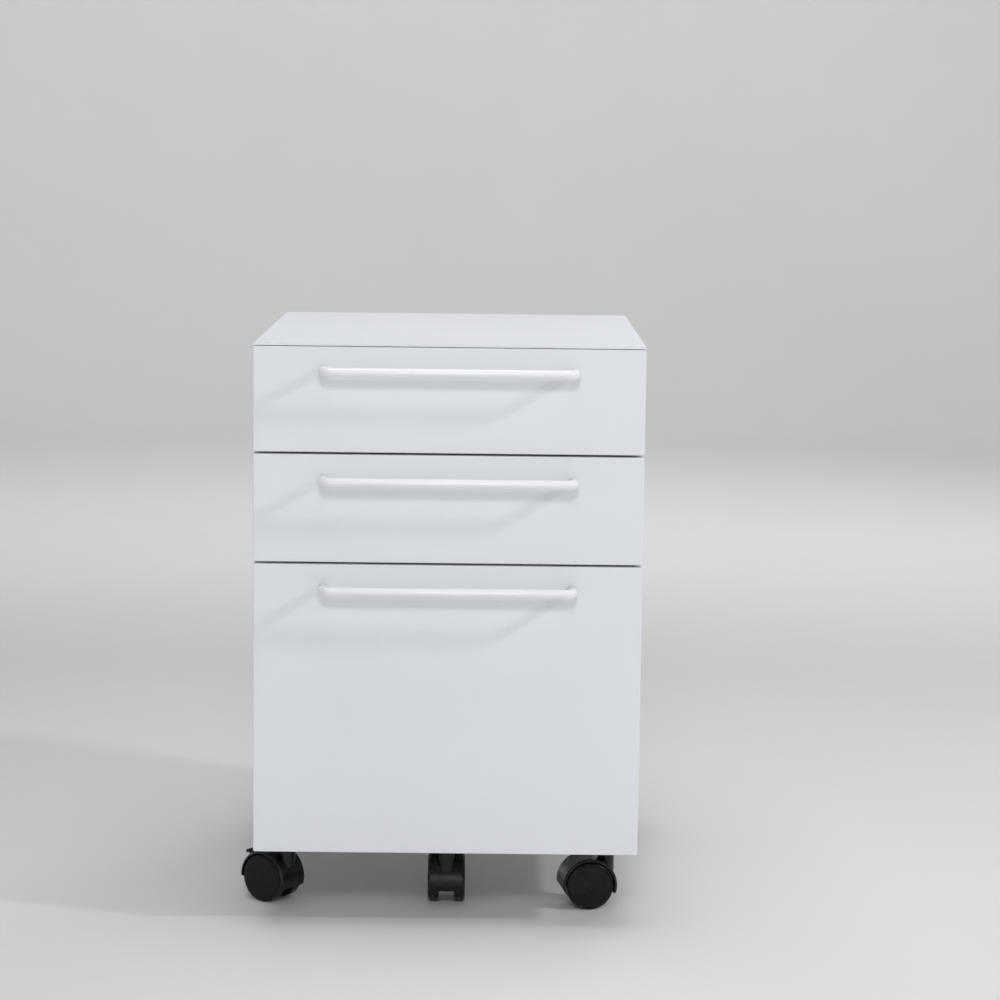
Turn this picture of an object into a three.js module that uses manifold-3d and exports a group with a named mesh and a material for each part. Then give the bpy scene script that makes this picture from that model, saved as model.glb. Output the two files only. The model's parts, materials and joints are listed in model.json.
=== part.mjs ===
// Rolling pedestal cabinet: a sheet-steel case with two box drawers and one file drawer,
// on four corner casters and one centre caster that travels with the file drawer.
// Millimetres, +Z up. The front faces -Y. The origin is on the floor, under the middle of
// the overall box, handles included.

import * as THREE from "three";
import { mergeVertices } from "three/addons/utils/BufferGeometryUtils.js";
import Module from "manifold-3d";

const wasm = await Module();
wasm.setup();

// ---------------------------------------------------------------- driving dimensions

const CASE_WIDTH = 390;
const CASE_DEPTH = 450;
const CASE_BOTTOM = 78; // lower edge of the side panels
const CASE_TOP = 595;
const CASE_SHEET = 1; // thickness of the case panels
const HEM_GAP = 0.4; // air inside a folded-back edge
const FIT = 0.3; // gap left between pieces that touch
const BACK_RECESS = 1.4; // back panel inside the top panel's rear edge, clear of its rivets
const TOP_GAP = 0.6; // gap between the top panel's edge and the upper drawer front
const FRONT_INSET = 0.2; // ends of the drawer fronts inside the case's outer sides
const BOTTOM_INSET = 0.5; // lower edge of the lowest front above the case's
const DRAWER_GAP = 2.2; // gap between two drawer fronts
const BEND_STEPS = 3; // facets in a folded corner

const HANDLE_ROD = 10; // diameter
const HANDLE_LENGTH = 258; // over the outside of both posts
const HANDLE_STANDOFF = 28; // drawer front to the middle of the bar
const HANDLE_ELBOW = 8; // bend radius on the rod's centre line
const TOP_HANDLE_Z = 568.5;
const HANDLE_PITCH = 109;

const FRONT_DEPTH = 18; // thickness of a drawer front
const FRONT_LIP = 12; // width of the flange round the back of a drawer front
const TOP_SPLIT_Z = 485.5; // middle of the gap under the top drawer
const FILE_SPLIT_Z = 375; // middle of the gap over the file drawer

const TRAY_WIDTH = 350;
const TRAY_LENGTH = 402;
const TRAY_SHEET = 0.8;
const TRAY_INSET = 11.5; // tray edges inside the front's upper and lower edges
const TRAY_RIM = 5; // flange turned outwards along the top of each side
const FILE_TRAY_BOTTOM = 88.3;

const SLIDE_LENGTH = 400;
const SLIDE_SHEET = 1.2;
const SLIDE_REACH = 188; // outer face of the outer rail, from the cabinet's middle

const CASTER_X = 167; // corner caster stems, from the cabinet's middle
const FRONT_CASTER_INSET = 96; // front caster stems, from the front of the case
const REAR_CASTER_INSET = 70; // rear caster stems, from the back of the case
const CENTRE_CASTER_INSET = 88;
const WHEEL_RADIUS = 25;
const WHEEL_SIDES = 32; // facets of a tread, one of them flat on the floor
const WHEEL_WIDTH = 11.5;
const WHEEL_SPACE = 16.5; // between the inner faces of a pair of wheels
const CASTER_TRAIL = 20; // stem axis to axle, level
const AXLE_RADIUS = 2.5;
const PIN_RADIUS = 4; // kingpin

// ---------------------------------------------------------------- derived sizes

const HALF_WIDTH = CASE_WIDTH / 2;
const HEM = 2 * CASE_SHEET + HEM_GAP; // thickness of a folded-back edge
const HANDLE_REACH = HANDLE_STANDOFF + HANDLE_ROD / 2;
const FRONT_Y = -(CASE_DEPTH - HANDLE_REACH) / 2;
const BACK_Y = FRONT_Y + CASE_DEPTH;
const BACK_FACE = BACK_Y - BACK_RECESS; // outside of the back panel
const BACK_FLANGE_Y = BACK_FACE - 1.5 * CASE_SHEET - FIT; // middle of the flange that carries it
const FRONT_HALF_WIDTH = HALF_WIDTH - FRONT_INSET;
const BUFFER_GAP = 1; // room for the buffers between the fronts and the case
const STOP_Y = FRONT_Y + FRONT_DEPTH + BUFFER_GAP + CASE_SHEET / 2; // flange behind the fronts
const STOP_X = 188; // free edge of that flange, from the cabinet's middle
const TRAY_HALF = TRAY_WIDTH / 2;
const TRAY_Y = FRONT_Y + FRONT_DEPTH + 0.4;
const SLIDE_Y = STOP_Y + 1.5;
const BASE_Z = CASE_BOTTOM + 2.5; // middle of the base pan's sheet
const AXLE_Z = WHEEL_RADIUS * Math.cos(Math.PI / WHEEL_SIDES);

// ---------------------------------------------------------------- materials

function finish(color, roughness, metalness) {
  return new THREE.MeshStandardMaterial({ color, roughness, metalness });
}

const white = finish(0xdcdee1, 0.45, 0);
const handleWhite = finish(0xe9ebed, 0.3, 0);
const zinc = finish(0xb4b7ba, 0.35, 1);
const hoodBlack = finish(0x17171a, 0.5, 0);
const wheelBlack = finish(0x1c1c1f, 0.4, 0);

// ---------------------------------------------------------------- solids

// A closed geometry as a solid that can be joined and cut.
function solid(geometry) {
  const bare = geometry.clone();
  bare.deleteAttribute("normal");
  bare.deleteAttribute("uv");
  const merged = mergeVertices(bare, 1e-4);
  return new wasm.Manifold(
    new wasm.Mesh({
      numProp: 3,
      vertProperties: merged.attributes.position.array,
      triVerts: new Uint32Array(merged.index.array),
    }),
  );
}

// The triangles of a joined or cut solid.
function geometryOf(manifold) {
  const mesh = manifold.getMesh();
  const geometry = new THREE.BufferGeometry();
  geometry.setAttribute("position", new THREE.BufferAttribute(mesh.vertProperties, 3));
  geometry.setIndex(new THREE.BufferAttribute(mesh.triVerts, 1));
  geometry.computeVertexNormals();
  return geometry;
}

function join(first, ...others) {
  return others.reduce((sum, next) => sum.add(next), first);
}

function cut(body, ...tools) {
  return tools.reduce((rest, tool) => rest.subtract(tool), body);
}

// A block between two corners.
function block([x0, y0, z0], [x1, y1, z1]) {
  const geometry = new THREE.BoxGeometry(x1 - x0, y1 - y0, z1 - z0);
  geometry.translate((x0 + x1) / 2, (y0 + y1) / 2, (z0 + z1) / 2);
  return solid(geometry);
}

// A block as wide to the left of the middle as to the right.
function centredBlock(half, [y0, z0], [y1, z1]) {
  return block([-half, y0, z0], [half, y1, z1]);
}

// A round bar along X, Y or Z through a point, from one place on that axis to another.
function rod(axis, radius, [x, y, z], from, to, sides = 16) {
  const geometry = new THREE.CylinderGeometry(radius, radius, to - from, sides);
  const middle = (from + to) / 2;
  if (axis === "x") {
    geometry.rotateZ(-Math.PI / 2);
    geometry.translate(middle, y, z);
  } else if (axis === "y") {
    geometry.translate(x, middle, z);
  } else {
    geometry.rotateX(Math.PI / 2);
    geometry.translate(x, y, middle);
  }
  return solid(geometry);
}

// Turns an extrusion's own axes into the cabinet's: the shape's two axes and its depth.
function turned(geometry, right, up, along) {
  const frame = new THREE.Matrix4().makeBasis(right, up, along);
  return geometry.applyMatrix4(frame);
}

const X = new THREE.Vector3(1, 0, 0);
const Y = new THREE.Vector3(0, 1, 0);
const Z = new THREE.Vector3(0, 0, 1);

function plainExtrude(shape, depth, curveSegments) {
  return new THREE.ExtrudeGeometry(shape, { depth, curveSegments, bevelEnabled: false });
}

// Extrudes a shape drawn in Y and Z from x0 to x1.
function alongX(shape, x0, x1, curveSegments = 12) {
  const geometry = turned(plainExtrude(shape, x1 - x0, curveSegments), Y, Z, X);
  return solid(geometry.translate(x0, 0, 0));
}

// Extrudes a shape drawn in X and Z from y0 to y1.
function alongY(shape, y0, y1, curveSegments = 12) {
  const geometry = turned(plainExtrude(shape, y1 - y0, curveSegments), X, Z, Y.clone().negate());
  return solid(geometry.translate(0, y1, 0));
}

// Extrudes a shape drawn in X and Y from z0 to z1.
function alongZ(shape, z0, z1, curveSegments = 12) {
  return solid(plainExtrude(shape, z1 - z0, curveSegments).translate(0, 0, z0));
}

// A rectangle with round corners, as wide to the left of the middle as to the right.
function roundedRectangle(half, low, high, radius) {
  const shape = new THREE.Shape();
  shape.absarc(half - radius, low + radius, radius, -Math.PI / 2, 0);
  shape.absarc(half - radius, high - radius, radius, 0, Math.PI / 2);
  shape.absarc(-half + radius, high - radius, radius, Math.PI / 2, Math.PI);
  shape.absarc(-half + radius, low + radius, radius, Math.PI, 1.5 * Math.PI);
  return shape;
}

// The section of a folded sheet. The line is the middle of the sheet's thickness, from one
// free edge to the other, and each corner after the first point is bent to its radius.
function foldedSheet(line, thickness, radii) {
  const left = [];
  const right = [];
  const put = (point, normal) => {
    left.push(point.clone().addScaledVector(normal, thickness / 2));
    right.push(point.clone().addScaledVector(normal, -thickness / 2));
  };
  const points = line.map(([a, b]) => new THREE.Vector2(a, b));
  const normalOf = (way) => new THREE.Vector2(-way.y, way.x);
  const wayTo = (i) => points[i + 1].clone().sub(points[i]).normalize();
  put(points[0], normalOf(wayTo(0)));
  for (let i = 1; i < points.length - 1; i++) {
    const into = wayTo(i - 1);
    const out = wayTo(i);
    const turn = Math.atan2(into.cross(out), into.dot(out));
    const radius = radii[i - 1];
    const start = points[i].clone().addScaledVector(into, -radius * Math.tan(Math.abs(turn) / 2));
    const side = Math.sign(turn);
    const centre = start.clone().addScaledVector(normalOf(into), side * radius);
    for (let step = 0; step <= BEND_STEPS; step++) {
      const normal = normalOf(into).rotateAround(new THREE.Vector2(), (turn * step) / BEND_STEPS);
      put(centre.clone().addScaledVector(normal, -side * radius), normal);
    }
  }
  put(points.at(-1), normalOf(wayTo(points.length - 2)));
  return new THREE.Shape([...left, ...right.reverse()]);
}

// ---------------------------------------------------------------- the scene graph

const cabinet = new THREE.Group();

function place(name, manifold, material, parent = cabinet) {
  const mesh = new THREE.Mesh(geometryOf(manifold), material.clone());
  mesh.name = name;
  parent.add(mesh);
  return mesh;
}

// Right-hand and left-hand copies of a piece drawn for the right-hand side.
function placePair(before, after, manifold, material) {
  place(`${before}right_${after}`, manifold, material);
  place(`${before}left_${after}`, manifold, material).scale.x = -1;
}

// ---------------------------------------------------------------- case

// A side panel: front edge folded in, behind the drawer fronts that lie over it, and rear
// edge folded in, to carry the back panel.
function sidePanel() {
  const wall = HALF_WIDTH - CASE_SHEET / 2;
  const rearFlange = 15;
  const bendRadius = 1.5;
  const line = [
    [STOP_X, STOP_Y],
    [wall, STOP_Y],
    [wall, BACK_FLANGE_Y],
    [wall - rearFlange, BACK_FLANGE_Y],
  ];
  const section = foldedSheet(line, CASE_SHEET, [bendRadius, bendRadius]);
  return alongZ(section, CASE_BOTTOM, CASE_TOP - HEM - FIT);
}

// The top panel: a shallow lid whose front edge is folded back and then down.
function topPanel() {
  const edgeRadius = 2;
  const skirtZ = CASE_TOP - HEM;
  const shape = new THREE.Shape();
  shape.moveTo(-HALF_WIDTH, skirtZ);
  shape.lineTo(HALF_WIDTH, skirtZ);
  shape.absarc(HALF_WIDTH - edgeRadius, CASE_TOP - edgeRadius, edgeRadius, 0, Math.PI / 2);
  shape.absarc(-HALF_WIDTH + edgeRadius, CASE_TOP - edgeRadius, edgeRadius, Math.PI / 2, Math.PI);
  const lid = cut(
    alongY(shape, FRONT_Y, BACK_Y, 4),
    centredBlock(
      HALF_WIDTH - CASE_SHEET,
      [FRONT_Y + CASE_SHEET, skirtZ - 1],
      [BACK_Y - CASE_SHEET, CASE_TOP - CASE_SHEET],
    ),
  );
  const flangeHeight = 9;
  const hemBack = STOP_Y + CASE_SHEET / 2;
  const hem = centredBlock(
    HALF_WIDTH - CASE_SHEET - HEM_GAP,
    [FRONT_Y + CASE_SHEET / 2, skirtZ],
    [hemBack, skirtZ + CASE_SHEET],
  );
  const flange = centredBlock(
    STOP_X - FIT,
    [hemBack - CASE_SHEET, skirtZ - flangeHeight],
    [hemBack, skirtZ + CASE_SHEET],
  );
  return join(lid, hem, flange);
}

function backPanel() {
  return centredBlock(
    HALF_WIDTH - FIT,
    [BACK_FACE - CASE_SHEET, CASE_BOTTOM],
    [BACK_FACE, CASE_TOP - HEM - FIT],
  );
}

const BRACKET_HALF = 24; // centre caster bracket, half its width
const BRACKET_LENGTH = 60;
const SLOT_MARGIN = 6; // between the bracket and the edges of the slot
const CENTRE_CASTER_Y = FRONT_Y + CENTRE_CASTER_INSET;

// The base pan: front edge down, rear and side edges up, with a slot from the front for
// the centre caster's bracket.
function basePan() {
  const frontY = STOP_Y + 2;
  const rearY = BACK_FLANGE_Y - CASE_SHEET - FIT;
  const flangeTop = BASE_Z + 12;
  const cornerRelief = 1.5; // keeps the side flanges off the front edge's bend
  const line = [
    [frontY, CASE_BOTTOM + FIT],
    [frontY, BASE_Z],
    [rearY, BASE_Z],
    [rearY, flangeTop],
  ];
  const outer = HALF_WIDTH - CASE_SHEET - FIT;
  const pan = alongX(foldedSheet(line, CASE_SHEET, [1, 1]), -outer, outer);
  const flange = (side) => {
    const inner = outer - CASE_SHEET;
    const start = frontY + cornerRelief;
    const low = [Math.min(side * inner, side * outer), start, BASE_Z - CASE_SHEET / 2];
    const high = [Math.max(side * inner, side * outer), rearY, flangeTop];
    return block(low, high);
  };
  const slot = centredBlock(
    BRACKET_HALF + SLOT_MARGIN,
    [frontY - 2, CASE_BOTTOM - 1],
    [CENTRE_CASTER_Y + BRACKET_LENGTH / 2 + SLOT_MARGIN, BASE_Z + 2],
  );
  return cut(join(pan, flange(1), flange(-1)), slot);
}

const MOUNT_Z = 67.5; // underside of the caster rails and of the centre bracket
const RAIL_SHEET = 1.5;

// A caster rail: a hat section under the base pan that carries a front and a rear caster.
function casterRail() {
  const half = 19.25;
  const innerBrim = 10;
  const outerBrim = 7; // narrower, inside the case's side panel
  const floor = MOUNT_Z + RAIL_SHEET / 2;
  const brim = BASE_Z - CASE_SHEET / 2 - FIT - RAIL_SHEET / 2;
  const line = [
    [CASTER_X - half - innerBrim, brim],
    [CASTER_X - half, brim],
    [CASTER_X - half, floor],
    [CASTER_X + half, floor],
    [CASTER_X + half, brim],
    [CASTER_X + half + outerBrim, brim],
  ];
  const frontEnd = 60;
  const rearEnd = 45;
  const section = foldedSheet(line, RAIL_SHEET, [2, 2, 2, 2]);
  return alongY(section, FRONT_Y + frontEnd, BACK_Y - rearEnd);
}

placePair("", "side_panel", sidePanel(), white);
place("top_panel", topPanel(), white);
place("back_panel", backPanel(), white);
place("base_pan", basePan(), white);
placePair("", "caster_rail", casterRail(), white);

// ---------------------------------------------------------------- drawer slides

// A channel-section slide member on the right-hand side. It opens towards the cabinet's
// middle, or away from it when its web is on the inside.
function slideMember(webX, lipX, height, middleZ, y0, y1) {
  const web = webX + (lipX > webX ? SLIDE_SHEET / 2 : -SLIDE_SHEET / 2);
  const high = middleZ + (height - SLIDE_SHEET) / 2;
  const low = middleZ - (height - SLIDE_SHEET) / 2;
  const line = [
    [lipX, high],
    [web, high],
    [web, low],
    [lipX, low],
  ];
  return alongY(foldedSheet(line, SLIDE_SHEET, [1.5, 1.5]), y0, y1);
}

const OUTER_LIP_X = TRAY_HALF + 2.5; // free edges of the outer and middle members

// The outer member stands off the side panel on two feet.
function outerRail(height, middleZ) {
  const rail = slideMember(
    SLIDE_REACH,
    OUTER_LIP_X,
    height,
    middleZ,
    SLIDE_Y,
    SLIDE_Y + SLIDE_LENGTH,
  );
  const footWidth = 16;
  const footHalf = 11;
  const footInset = 12;
  const foot = (y) =>
    block(
      [SLIDE_REACH - SLIDE_SHEET / 2, y, middleZ - footHalf],
      [HALF_WIDTH - CASE_SHEET - FIT, y + footWidth, middleZ + footHalf],
    );
  const rearFoot = SLIDE_Y + SLIDE_LENGTH - footInset - footWidth;
  return join(rail, foot(SLIDE_Y + footInset), foot(rearFoot));
}

// The inner member is fastened to the tray, and ends short of the outer member.
function innerRail(height, middleZ, lipX) {
  const end = SLIDE_Y + SLIDE_LENGTH - 4;
  return slideMember(TRAY_HALF + FIT, lipX, height, middleZ, SLIDE_Y, end);
}

// ---------------------------------------------------------------- drawers

// A drawer front: a folded steel pan, open at the back inside its flange.
function drawerFront(bottom, top) {
  const corner = 2;
  const bend = 1.2;
  const half = FRONT_HALF_WIDTH;
  const skin = new THREE.ExtrudeGeometry(roundedRectangle(half, bottom, top, corner), {
    depth: FRONT_DEPTH - 2 * bend,
    curveSegments: 2,
    bevelThickness: bend,
    bevelSize: bend,
    bevelOffset: -bend,
    bevelSegments: 2,
  });
  turned(skin, X, Z, Y.clone().negate()).translate(0, FRONT_Y + FRONT_DEPTH - bend, 0);
  const inside = FRONT_Y + FRONT_DEPTH - CASE_SHEET;
  const hollow = centredBlock(
    half - CASE_SHEET,
    [FRONT_Y + CASE_SHEET, bottom + CASE_SHEET],
    [inside, top - CASE_SHEET],
  );
  const mouth = centredBlock(
    half - FRONT_LIP,
    [inside - 1, bottom + FRONT_LIP],
    [inside + 3, top - FRONT_LIP],
  );
  return cut(solid(skin), hollow, mouth);
}

// An open tray with a rim turned outwards along each side.
function drawerTray(bottom, top) {
  const rear = TRAY_Y + TRAY_LENGTH;
  const inner = TRAY_HALF - TRAY_SHEET;
  const shell = cut(
    centredBlock(TRAY_HALF, [TRAY_Y, bottom], [rear, top]),
    centredBlock(inner, [TRAY_Y + TRAY_SHEET, bottom + TRAY_SHEET], [rear - TRAY_SHEET, top + 1]),
  );
  const rimStart = TRAY_Y + 6;
  const rimZ = top - TRAY_SHEET;
  const right = block([inner, rimStart, rimZ], [TRAY_HALF + TRAY_RIM, rear, top]);
  const left = block([-TRAY_HALF - TRAY_RIM, rimStart, rimZ], [-inner, rear, top]);
  return join(shell, right, left);
}

// The centre line of a bow handle: post, elbow, bar, elbow, post. It is stepped by its own
// stations, so that the straight lengths take one step and the elbows take several.
class HandleLine extends THREE.Curve {
  constructor(z) {
    super();
    const reach = (HANDLE_LENGTH - HANDLE_ROD) / 2;
    const barY = FRONT_Y - HANDLE_STANDOFF;
    const elbowSteps = 6;
    this.stations = [new THREE.Vector3(-reach, FRONT_Y - FIT, z)];
    for (let step = 0; step <= elbowSteps; step++) {
      const angle = Math.PI + (Math.PI / 2) * (step / elbowSteps);
      this.stations.push(
        new THREE.Vector3(
          -reach + HANDLE_ELBOW + HANDLE_ELBOW * Math.cos(angle),
          barY + HANDLE_ELBOW + HANDLE_ELBOW * Math.sin(angle),
          z,
        ),
      );
    }
    const mirrored = this.stations.map((p) => new THREE.Vector3(-p.x, p.y, p.z));
    this.stations.push(...mirrored.reverse());
  }

  getPoint(t) {
    const spans = this.stations.length - 1;
    const span = Math.min(Math.floor(t * spans), spans - 1);
    return this.stations[span].clone().lerp(this.stations[span + 1], t * spans - span);
  }

  getPointAt(t) {
    return this.getPoint(t);
  }

  getTangentAt(t) {
    return this.getTangent(t);
  }

  getSpacedPoints(count) {
    return this.getPoints(count);
  }
}

function bowHandle(z) {
  const line = new HandleLine(z);
  const sides = 14;
  const ring = [];
  for (let i = 0; i < sides; i++) {
    const angle = (2 * Math.PI * (i + 0.5)) / sides;
    const point = new THREE.Vector2(Math.cos(angle), Math.sin(angle));
    ring.push(point.multiplyScalar(HANDLE_ROD / 2));
  }
  const steps = line.stations.length - 1;
  const options = { steps, extrudePath: line, bevelEnabled: false };
  return solid(new THREE.ExtrudeGeometry(new THREE.Shape(ring), options));
}

const DRAWERS = [
  {
    name: "top_drawer",
    bottom: TOP_SPLIT_Z + DRAWER_GAP / 2,
    top: CASE_TOP - HEM - TOP_GAP,
  },
  {
    name: "middle_drawer",
    bottom: FILE_SPLIT_Z + DRAWER_GAP / 2,
    top: TOP_SPLIT_Z - DRAWER_GAP / 2,
  },
  {
    name: "file_drawer",
    bottom: CASE_BOTTOM + BOTTOM_INSET,
    top: FILE_SPLIT_Z - DRAWER_GAP / 2,
    trayBottom: FILE_TRAY_BOTTOM,
    fullExtension: true,
  },
];

// Heights of the slide members' channels.
const BOX_OUTER = 35;
const BOX_INNER = 26;
const FILE_OUTER = 45;
const FILE_MIDDLE = 35.6;
const FILE_INNER = 24;
const WEB_CLEARANCE = 1; // between the webs of nested members
const LIP_CLEARANCE = 0.7; // between a lip and the web it faces

DRAWERS.forEach(({ name, bottom, top, trayBottom, fullExtension }, index) => {
  const low = trayBottom ?? bottom + TRAY_INSET;
  const high = top - TRAY_INSET;
  const middle = (low + high) / 2;
  place(`${name}_front`, drawerFront(bottom, top), white);
  place(`${name}_tray`, drawerTray(low, high), white);
  place(`${name}_handle`, bowHandle(TOP_HANDLE_Z - index * HANDLE_PITCH), handleWhite);
  if (fullExtension) {
    const webX = SLIDE_REACH - SLIDE_SHEET - WEB_CLEARANCE;
    const end = SLIDE_Y + SLIDE_LENGTH - 2;
    const midRail = slideMember(webX, OUTER_LIP_X, FILE_MIDDLE, middle, SLIDE_Y, end);
    const lipX = webX - SLIDE_SHEET - LIP_CLEARANCE;
    placePair(`${name}_`, "outer_rail", outerRail(FILE_OUTER, middle), zinc);
    placePair(`${name}_`, "middle_rail", midRail, zinc);
    placePair(`${name}_`, "inner_rail", innerRail(FILE_INNER, middle, lipX), zinc);
  } else {
    const lipX = SLIDE_REACH - SLIDE_SHEET - LIP_CLEARANCE;
    placePair(`${name}_`, "outer_rail", outerRail(BOX_OUTER, middle), zinc);
    placePair(`${name}_`, "inner_rail", innerRail(BOX_INNER, middle, lipX), zinc);
  }
});

// The bracket under the file drawer that carries the centre caster.
function casterBracket() {
  const half = BRACKET_HALF - RAIL_SHEET / 2;
  const wing = 16; // flange under the tray
  const floor = MOUNT_Z + RAIL_SHEET / 2;
  const brim = FILE_TRAY_BOTTOM - FIT - RAIL_SHEET / 2;
  const line = [
    [-half - wing, brim],
    [-half, brim],
    [-half, floor],
    [half, floor],
    [half, brim],
    [half + wing, brim],
  ];
  const section = foldedSheet(line, RAIL_SHEET, [2, 2, 2, 2]);
  const start = CENTRE_CASTER_Y - BRACKET_LENGTH / 2;
  return alongY(section, start, start + BRACKET_LENGTH);
}

place("centre_caster_bracket", casterBracket(), white);

// ---------------------------------------------------------------- casters

// Each caster is drawn with its stem on the Z axis and its wheels trailing along +X.

const HOOD_RADIUS = 29;
const HOOD_HALF = 18.5; // half the hood's width
const WELL_RADIUS = 26.4; // inside of the hood, over the wheels
const WEB_HALF = 6; // half the thickness of the web between the wheels
const BOSS_RADIUS = 8.5;
const BOSS_BOTTOM = AXLE_Z + 13;
const PLATE_SHEET = 2.5;
const RACE_DROP = 2; // ball race under the plate
const PIN_BOTTOM = 36;
const PLATE_BOTTOM = MOUNT_Z - FIT - PLATE_SHEET;
const BOSS_TOP = PLATE_BOTTOM - RACE_DROP - FIT;
const TRAIL_END = THREE.MathUtils.degToRad(-3); // hood's edge behind the wheels
const NOSE_END = THREE.MathUtils.degToRad(197); // hood's edge at the nose
const AXLE = [CASTER_TRAIL, 0, AXLE_Z];

// The brake lever's pin and the end of its pedal, from the axle. Its blade swings in a slot
// in the middle of the web.
const LEVER_PIVOT = new THREE.Vector2(13, 11);
const LEVER_TIP = new THREE.Vector2(33.4, 22.5);
const LEVER_PIN = 1.5;
const LEVER_PIN_HALF = WEB_HALF + 1.7; // half its length
const BLADE_HALF = 2.4; // half the blade's thickness
const BLADE_GAP = 0.4;

// The mounting plate, with its ball race and the kingpin riveted into it.
function casterPlate() {
  const half = 19;
  const outline = roundedRectangle(half, -half, half, 4);
  const plate = alongZ(outline, PLATE_BOTTOM, PLATE_BOTTOM + PLATE_SHEET, 3);
  const raceRadius = 14;
  const profile = [
    [0, PIN_BOTTOM],
    [PIN_RADIUS - 1, PIN_BOTTOM],
    [PIN_RADIUS, PIN_BOTTOM + 1],
    [PIN_RADIUS, BOSS_TOP + FIT],
    [raceRadius - 1.5, BOSS_TOP + FIT],
    [raceRadius, PLATE_BOTTOM + 0.1],
    [0, PLATE_BOTTOM + 0.1],
  ].map(([r, z]) => new THREE.Vector2(r, z));
  const race = new THREE.LatheGeometry(profile, 16).rotateX(Math.PI / 2);
  return join(plate, solid(race));
}

// The hood: a cover over both wheels, a web between them, and a boss for the kingpin.
function casterHood(braked) {
  const edge = 1.5;
  const shape = new THREE.Shape();
  shape.absarc(CASTER_TRAIL, AXLE_Z, HOOD_RADIUS, TRAIL_END, NOSE_END);
  const cover = new THREE.ExtrudeGeometry(shape, {
    depth: 2 * (HOOD_HALF - edge),
    curveSegments: 20,
    bevelThickness: edge,
    bevelSize: edge,
    bevelOffset: -edge,
    bevelSegments: 1,
  });
  turned(cover, X, Z, Y.clone().negate()).translate(0, HOOD_HALF - edge, 0);
  const hub = rod("y", 7, AXLE, -WEB_HALF, WEB_HALF, 16);
  const boss = rod("z", BOSS_RADIUS, [0, 0, 0], BOSS_BOTTOM, BOSS_TOP, 24);
  const well = (side) => {
    const from = side > 0 ? WEB_HALF : -HOOD_HALF - 2;
    return rod("y", WELL_RADIUS, AXLE, from, from + HOOD_HALF + 2 - WEB_HALF, 40);
  };
  const axleBore = rod("y", AXLE_RADIUS + FIT, AXLE, -WEB_HALF - 1, WEB_HALF + 1, 12);
  const pinBore = rod("z", PIN_RADIUS + FIT, [0, 0, 0], PIN_BOTTOM - 1, BOSS_TOP + 1, 12);
  const hood = cut(join(solid(cover), hub, boss), well(1), well(-1), axleBore, pinBore);
  return braked ? cut(hood, ...leverClearance()) : hood;
}

// The slot that the lever's blade swings in, and its pin's bore.
function leverClearance() {
  const pivot = [CASTER_TRAIL + LEVER_PIVOT.x, 0, AXLE_Z + LEVER_PIVOT.y];
  const bore = rod("y", LEVER_PIN + FIT, pivot, -WEB_HALF - 1, WEB_HALF + 1, 12);
  const corner = (radius, degrees) => {
    const angle = THREE.MathUtils.degToRad(degrees);
    const x = CASTER_TRAIL + radius * Math.cos(angle);
    return new THREE.Vector2(x, AXLE_Z + radius * Math.sin(angle));
  };
  const slotInner = 13;
  const slotOuter = HOOD_RADIUS + 3;
  const slot = new THREE.Shape([
    corner(slotInner, 22),
    corner(slotOuter, 27),
    corner(slotOuter, 51),
    corner(slotInner, 58),
  ]);
  const reach = BLADE_HALF + BLADE_GAP;
  return [bore, alongY(slot, -reach, reach)];
}

// The brake lever, pressed down: a blade with its pin at one end and a small pedal at the
// other. It is drawn along +X from its pin, then tilted into its place.
function brakeLever() {
  const length = LEVER_TIP.distanceTo(LEVER_PIVOT);
  const tilt = LEVER_TIP.clone().sub(LEVER_PIVOT).angle();
  const eye = 3;
  const neckHalf = 1.2;
  const pedalHalf = 3.8;
  const pedalLength = 4.6;
  const pedalRound = 2.2;
  const blade = new THREE.Shape();
  blade.absarc(0, 0, eye, Math.PI / 2, 1.5 * Math.PI);
  blade.lineTo(length - pedalLength, -neckHalf);
  blade.lineTo(length - pedalRound, -neckHalf);
  blade.lineTo(length - pedalRound, neckHalf);
  blade.lineTo(length - pedalLength, neckHalf);
  const pedal = new THREE.Shape();
  pedal.moveTo(length - pedalLength, -neckHalf);
  pedal.absarc(length - pedalRound, 0, pedalRound, -Math.PI / 2, Math.PI / 2);
  pedal.lineTo(length - pedalLength, neckHalf);
  const lever = join(
    rod("y", LEVER_PIN, [0, 0, 0], -LEVER_PIN_HALF, LEVER_PIN_HALF, 12),
    alongY(blade, -BLADE_HALF, BLADE_HALF, 8),
    alongY(pedal, -pedalHalf, pedalHalf, 8),
  );
  const turn = new THREE.Matrix4()
    .makeTranslation(CASTER_TRAIL + LEVER_PIVOT.x, 0, AXLE_Z + LEVER_PIVOT.y)
    .multiply(new THREE.Matrix4().makeRotationY(-tilt));
  return solid(geometryOf(lever).applyMatrix4(turn));
}

// A wheel, drawn for the left of the pair: a wide tread, a domed disc and a blind bore.
function casterWheel() {
  const boreDepth = 10;
  const profile = [
    [0, boreDepth],
    [AXLE_RADIUS + FIT, boreDepth],
    [AXLE_RADIUS + FIT, 0],
    [WHEEL_RADIUS - 1, 0],
    [WHEEL_RADIUS, 1],
    [WHEEL_RADIUS, WHEEL_WIDTH - 1.8],
    [WHEEL_RADIUS - 1.8, WHEEL_WIDTH - 0.5],
    [0, WHEEL_WIDTH],
  ].map(([r, across]) => new THREE.Vector2(r, across));
  const flatDown = Math.PI / WHEEL_SIDES; // turns a facet of the tread to the floor
  const wheel = new THREE.LatheGeometry(profile, WHEEL_SIDES, flatDown);
  wheel.translate(CASTER_TRAIL, WHEEL_SPACE / 2, AXLE_Z);
  return solid(wheel);
}

const FRONT_CASTER_Y = FRONT_Y + FRONT_CASTER_INSET;
const REAR_CASTER_Y = BACK_Y - REAR_CASTER_INSET;

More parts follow.
